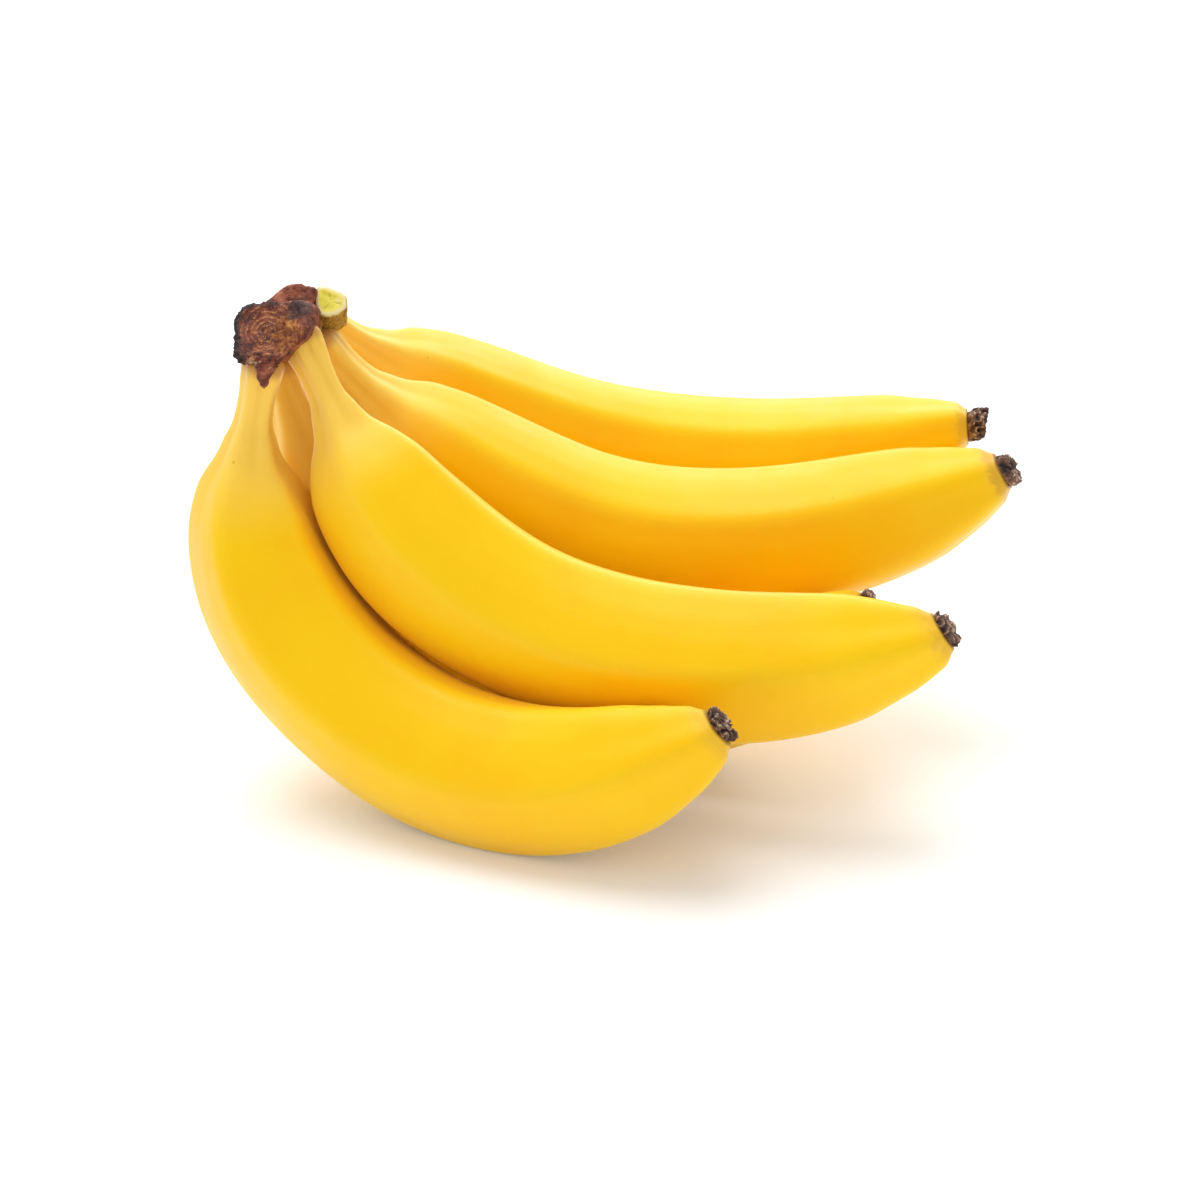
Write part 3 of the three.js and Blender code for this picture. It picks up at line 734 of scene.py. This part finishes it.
def crown_relief(spot, normal, seed):
    """How far a point of the crown, in its own frame, moves along its normal in mm, and its marks."""
    x, y, z = spot
    level = z - (CUT_FACE_OUT - CUT_FACE_SLOPE * y + CUT_FACE_TURN * x)
    inside = rim_distance(CUT_FACE_RIM, x, y)
    facing = Vector((-CUT_FACE_TURN, CUT_FACE_SLOPE, 1)).normalized().dot(normal)
    shift = Vector((seed, 0, 0))
    coarse = noise.fractal(spot * 0.34 + shift, 0.9, 2.1, 3)
    fine = noise.fractal(spot * 1.3 + shift, 0.8, 2.2, 3)
    # The cut face, and its dark rim along the left and upper sides and at the upper right
    cut = smooth_step(level, -1.8, -0.8) * smooth_step(facing, 0.45, 0.75) * smooth_step(inside, -0.8, 0.2)
    edge = smooth_step(inside + 0.4 * fine, 1.4, 0.4) * smooth_step(level, -3.0, -1.0)
    left = smooth_step(x, -5.5, -8.0) + 0.75 * smooth_step(y, 2.6, 4.2) * smooth_step(x, 1.0, -2.0)
    edge_left = edge * min(1.0, left)
    dark = smooth_step(x, 1.5, 3.5) * smooth_step(y, 0.5, 2.0) * cut
    rim = min(1.0, edge_left + 0.8 * dark)
    # On it, the reddish strip at the left, the crumbly patch and the arcs
    strip = cut * smooth_step(abs(x - STRIP_AT), 1.4, 0.6) * smooth_step(y, -7.5, -5.0)
    from_crumb = math.hypot(x - CRUMB_AT[0], (y - CRUMB_AT[1]) * 0.8)
    crumb = cut * smooth_step(from_crumb + 1.2 * coarse, 4.2, 2.6)
    ring = math.hypot(x - ARCS_AT[0], y - ARCS_AT[1])
    rings = 0.5 + 0.5 * math.sin(ring * 2 * math.pi / ARC_GAP + coarse)
    arcs = cut * rings * smooth_step(inside, 0.6, 1.5) * smooth_step(ring, 7.0, 5.0) * (1 - crumb)
    # Below it the torn lower end, and behind it the green skin
    torn = (smooth_step(y + 0.8 * fine, -6.4, -8.0) * smooth_step(level, -3.0, -1.0)
            * smooth_step(x, 2.5, 0.5))
    back = smooth_step(z, 4.0, -6.0) * smooth_step(y, 7.0, 2.0)
    lift = SKIN_LIFT + COARSE_GRAIN * coarse + FINE_GRAIN * fine + RIM_HEIGHT * edge_left * (1 + 0.6 * fine)
    lift += BULGE_HEIGHT * (
        smooth_step(x, 4.0, 6.5) * smooth_step(y, -4.5, -1.5) * smooth_step(y, 6.5, 3.5))
    lift += cut * (ARC_HEIGHT * (rings - 0.5) - FACE_DEPTH * smooth_step(inside, 0.8, 3.0))
    crumbly = noise.fractal(spot * 2.1 + shift, 0.7, 2.2, 3)
    lift += crumb * (CRUMB_HEIGHT + CRUMB_GRAIN * crumbly) + 0.5 * fine * torn
    return lift, cut, rim, rings * cut * (1 - crumb), arcs, strip, crumb, torn, back


def stub_relief(spot, normal):
    """The same for the stub: a clean cut face with a raised rim, and a soft skin round it."""
    x, y, z = spot
    level = z - (STUB_OUT - STUB_SLOPE * y)
    inside = rim_distance(STUB_RIM, x, y)
    facing = Vector((0, STUB_SLOPE, 1)).normalized().dot(normal)
    cut = smooth_step(level, -0.9, -0.45) * smooth_step(facing, 0.55, 0.8)
    rim = smooth_step(inside, 0.85 + 0.5 * smooth_step(x - y, 4.0, 9.0), 0.45)
    turn = math.atan2(y - STUB_MIDDLE[1], x - STUB_MIDDLE[0])
    rays = smooth_step(math.cos(3 * turn + 0.7), 0.93, 1.0) * smooth_step(inside, 0.8, 1.6)
    soft = noise.fractal(spot * 0.6, 0.9, 2.0, 3)
    lift = 0.3 + 0.16 * soft * (1 - cut * 0.7) - cut * (0.3 * smooth_step(inside, 0.9, 2.0) + 0.12 * rays)
    return lift, cut, rim, rays


def shaped(piece, relief, names):
    """Moves a piece's points along their normals by a relief, and stores its marks as attributes."""
    to_part = crown_frame()
    to_crown = to_part.inverted()
    turn = to_crown.to_3x3().normalized()
    mesh = piece.data
    marks = []
    moved = []
    for vertex, normal in zip(mesh.vertices, mesh.vertex_normals):
        spot = to_crown @ vertex.co
        aim = (turn @ normal.vector).normalized()
        lift, *rest = relief(spot, aim)
        marks.append(rest)
        moved.append(to_part @ (spot + aim * lift))
    for vertex, place in zip(mesh.vertices, moved):
        vertex.co = place
    for i, name in enumerate(names):
        mesh.attributes.new(name, "FLOAT", "POINT").data.foreach_set("value", [m[i] for m in marks])
    mesh.shade_smooth()
    mesh.update()


def hand_in(piece, node):
    """Hands a finished piece to the frame in place of a node."""
    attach(piece, BODY)
    if node:
        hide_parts(node)


class PeelSettings(bpy.types.PropertyGroup):
    ridge: FloatProperty(name="Ridge", description="How far the ridges stand out, as a share of the usual",
                         default=1.0, subtype="FACTOR", min=0, max=2)
    edge: FloatProperty(name="Edge", description="How crisp the ridges are", default=1.0, subtype="FACTOR",
                        min=0, max=1.5)
    lumps: FloatProperty(name="Lumps", description="Height of the peel's soft unevenness", default=0.9 * MM,
                         unit="LENGTH")
    rings: IntProperty(name="Rings", description="Rings of faces along a finger", default=260)
    sides: IntProperty(name="Sides", description="Faces round a finger", default=110)
    ripe: FloatVectorProperty(name="Ripe yellow", description="The peel's main colour", subtype="COLOR",
                              default=linear("#FFCC00"), min=0, max=1)
    deep: FloatVectorProperty(name="Deep yellow", description="The peel's deeper clouds", subtype="COLOR",
                              default=linear("#FDBA00"), min=0, max=1)


class BlossomSettings(bpy.types.PropertyGroup):
    radius: FloatProperty(name="Radius", description="Radius of a dried blossom on a common finger",
                          default=4.1 * MM, unit="LENGTH")
    crumple: FloatProperty(name="Crumple", description="Depth of its folds", default=1.2 * MM, unit="LENGTH")


class CrownSettings(bpy.types.PropertyGroup):
    voxel: FloatProperty(name="Grain", description="Size of the crown's finest faces", default=0.36 * MM,
                         unit="LENGTH")
    fibre_gap: FloatProperty(name="Fibre gap", description="Distance between fibre ends", default=0.5 * MM,
                             unit="LENGTH")
    fibre_size: FloatProperty(name="Fibre size", description="Radius of a fibre end", default=0.17 * MM,
                              unit="LENGTH")
    seed: IntProperty(name="Seed", description="Changes the crown's random grain", default=7)


class StudioSettings(bpy.types.PropertyGroup):
    key: FloatProperty(name="Key light", description="Power of the large light above the left side",
                       default=14.0, unit="POWER")
    fill: FloatProperty(name="Fill light", description="Power of the soft light from the front",
                        default=1.2, unit="POWER")
    back: FloatProperty(name="Back light", description="Power of the wide light behind, for the sheen",
                        default=19.0, unit="POWER")
    sky: FloatProperty(name="Room light", description="Strength of the even light from all round",
                       default=0.64)


class BUNCH_OT_peels(bpy.types.Operator):
    """Make the peels of the five fingers"""
    bl_idname = "bunch.peels"
    bl_label = "Finger peels"

    def execute(self, context):
        look = context.scene.peel_settings
        material = peel_material(look)
        tree = peel_tree()
        for number, finger in enumerate(FINGERS, 1):
            source, section = spine_object(finger)
            piece = apply_tree(tree, source, f"peel_{number}", {
                **section, "Girth": finger["girth"], "Neck": float(finger["neck"]),
                "Length": finger["length"] * MM, "Worn": finger["worn"],
                "Roll": math.radians(finger["roll"]), "Ridge": look.ridge, "Edge": look.edge,
                "Lumps": look.lumps, "Seed": number * PEEL_SHIFT, "Rings": look.rings,
                "Sides": look.sides, "Material": material})
            hand_in(piece, f"finger_{number}")
        return {"FINISHED"}


class BUNCH_OT_blossom_ends(bpy.types.Operator):
    """Make the dried blossom on each finger's tip"""
    bl_idname = "bunch.blossom_ends"
    bl_label = "Dried blossom ends"

    def execute(self, context):
        sizes = context.scene.blossom_settings
        material = blossom_material()
        tree = blossom_tree()
        for number, finger in enumerate(FINGERS, 1):
            source, section = spine_object(finger)
            piece = apply_tree(tree, source, f"dried_blossom_{number}", {
                **section, "Radius": sizes.radius * finger["girth"], "Length": finger["blossom"] * MM,
                "Lobes": float(finger["lobes"]), "Notch": finger["notch"],
                "Turn": math.radians(finger["turn"]), "Crumple": sizes.crumple,
                "Seed": number * BLOSSOM_SHIFT, "Material": material})
            hand_in(piece, f"blossom_end_{number}")
        return {"FINISHED"}


class BUNCH_OT_crown(bpy.types.Operator):
    """Make the dried crown with its cut face and fibre ends"""
    bl_idname = "bunch.crown"
    bl_label = "Crown"

    def execute(self, context):
        sizes = context.scene.crown_settings
        crown = remeshed_node("crown", "dried_crown", sizes.voxel, CROWN_ROUNDS)
        shaped(crown, lambda spot, aim: crown_relief(spot, aim, sizes.seed), CROWN_MARKS)
        crown.data.materials.append(crown_material())
        copy = new_object("fibre_source", crown.data.copy())
        fibres = apply_tree(fibre_tree(), copy, "fibre_ends", {
            "Spacing": sizes.fibre_gap, "Size": sizes.fibre_size, "Seed": sizes.seed,
            "Material": fibre_material()})
        hand_in(crown, "crown")
        hand_in(fibres, None)
        return {"FINISHED"}


class BUNCH_OT_stub(bpy.types.Operator):
    """Make the freshly cut stub beside the crown"""
    bl_idname = "bunch.stub"
    bl_label = "Cut stub"

    def execute(self, context):
        stub = remeshed_node("cut_stub", "fresh_stub", STUB_GRAIN, STUB_ROUNDS)
        shaped(stub, stub_relief, STUB_MARKS)
        stub.data.materials.append(stub_material())
        hand_in(stub, "cut_stub")
        return {"FINISHED"}


class BUNCH_OT_studio(bpy.types.Operator):
    """Make the paper floor, the lights and the camera"""
    bl_idname = "bunch.studio"
    bl_label = "Studio"

    def execute(self, context):
        studio = context.scene.studio_settings
        floor_mesh = bpy.data.meshes.new("paper_floor")
        corners = [(x * FLOOR_HALF, y * FLOOR_HALF, 0) for x, y in ((-1, -1), (1, -1), (1, 1), (-1, 1))]
        floor_mesh.from_pydata(corners, [], [(0, 1, 2, 3)])
        floor = new_object("paper_floor", floor_mesh)
        floor_mesh.materials.append(paper_material())
        for name, (place, size) in LIGHTS.items():
            lamp = self.light(f"{name}_light", Vector(place), size, getattr(studio, name))
            lamp.visible_glossy = name != "fill"
        world = bpy.data.worlds.new("Room")
        world.use_nodes = True
        tree = world.node_tree
        connect(tree, tree.nodes["Background"], {"Color": rgba("#FFFFFF"), "Strength": studio.sky})
        context.scene.world = world
        context.scene.view_settings.view_transform = "Standard"
        self.camera(context)
        return {"FINISHED"}

    @staticmethod
    def light(name, place, size, power):
        data = bpy.data.lights.new(name, "AREA")
        data.shape = "DISK"
        data.size = size
        data.energy = power
        lamp = new_object(name, data)
        lamp.location = place
        lamp.rotation_euler = (AIM - place).to_track_quat("-Z", "Y").to_euler()
        lamp.visible_camera = False
        return lamp

    @staticmethod
    def camera(context):
        data = bpy.data.cameras.new("photo_camera")
        data.lens = CAMERA_LENS
        data.sensor_width = SENSOR
        camera = new_object("photo_camera", data)
        rise = math.radians(CAMERA_RISE)
        camera.location = AIM + Vector((0, -math.cos(rise), math.sin(rise))) * CAMERA_RANGE
        camera.rotation_euler = (math.pi / 2 - rise, 0, 0)
        context.scene.camera = camera


class BUNCH_PT_panel(bpy.types.Panel):
    bl_label = "Banana bunch"
    bl_idname = "BUNCH_PT_panel"
    bl_space_type = "VIEW_3D"
    bl_region_type = "UI"
    bl_category = "Bananas"

    def draw(self, context):
        for group, operator in STEPS:
            box = self.layout.box()
            settings = getattr(context.scene, group)
            for name in settings.__annotations__:
                box.prop(settings, name)
            box.operator(operator)


STEPS = (
    ("peel_settings", "bunch.peels"),
    ("blossom_settings", "bunch.blossom_ends"),
    ("crown_settings", "bunch.crown"),
    ("crown_settings", "bunch.stub"),
    ("studio_settings", "bunch.studio"),
)
GROUPS = {
    "peel_settings": PeelSettings,
    "blossom_settings": BlossomSettings,
    "crown_settings": CrownSettings,
    "studio_settings": StudioSettings,
}
OPERATORS = (BUNCH_OT_peels, BUNCH_OT_blossom_ends, BUNCH_OT_crown, BUNCH_OT_stub, BUNCH_OT_studio)
CLASSES = (*GROUPS.values(), *OPERATORS, BUNCH_PT_panel)


def register():
    for kind in CLASSES:
        bpy.utils.register_class(kind)
    for name, group in GROUPS.items():
        setattr(bpy.types.Scene, name, PointerProperty(type=group))


def unregister():
    for name in GROUPS:
        delattr(bpy.types.Scene, name)
    for kind in reversed(CLASSES):
        bpy.utils.unregister_class(kind)


def main():
    register()
    bpy.ops.bunch.peels()
    bpy.ops.bunch.blossom_ends()
    bpy.ops.bunch.crown()
    bpy.ops.bunch.stub()
    bpy.ops.bunch.studio()


if __name__ == "__main__":
    main()
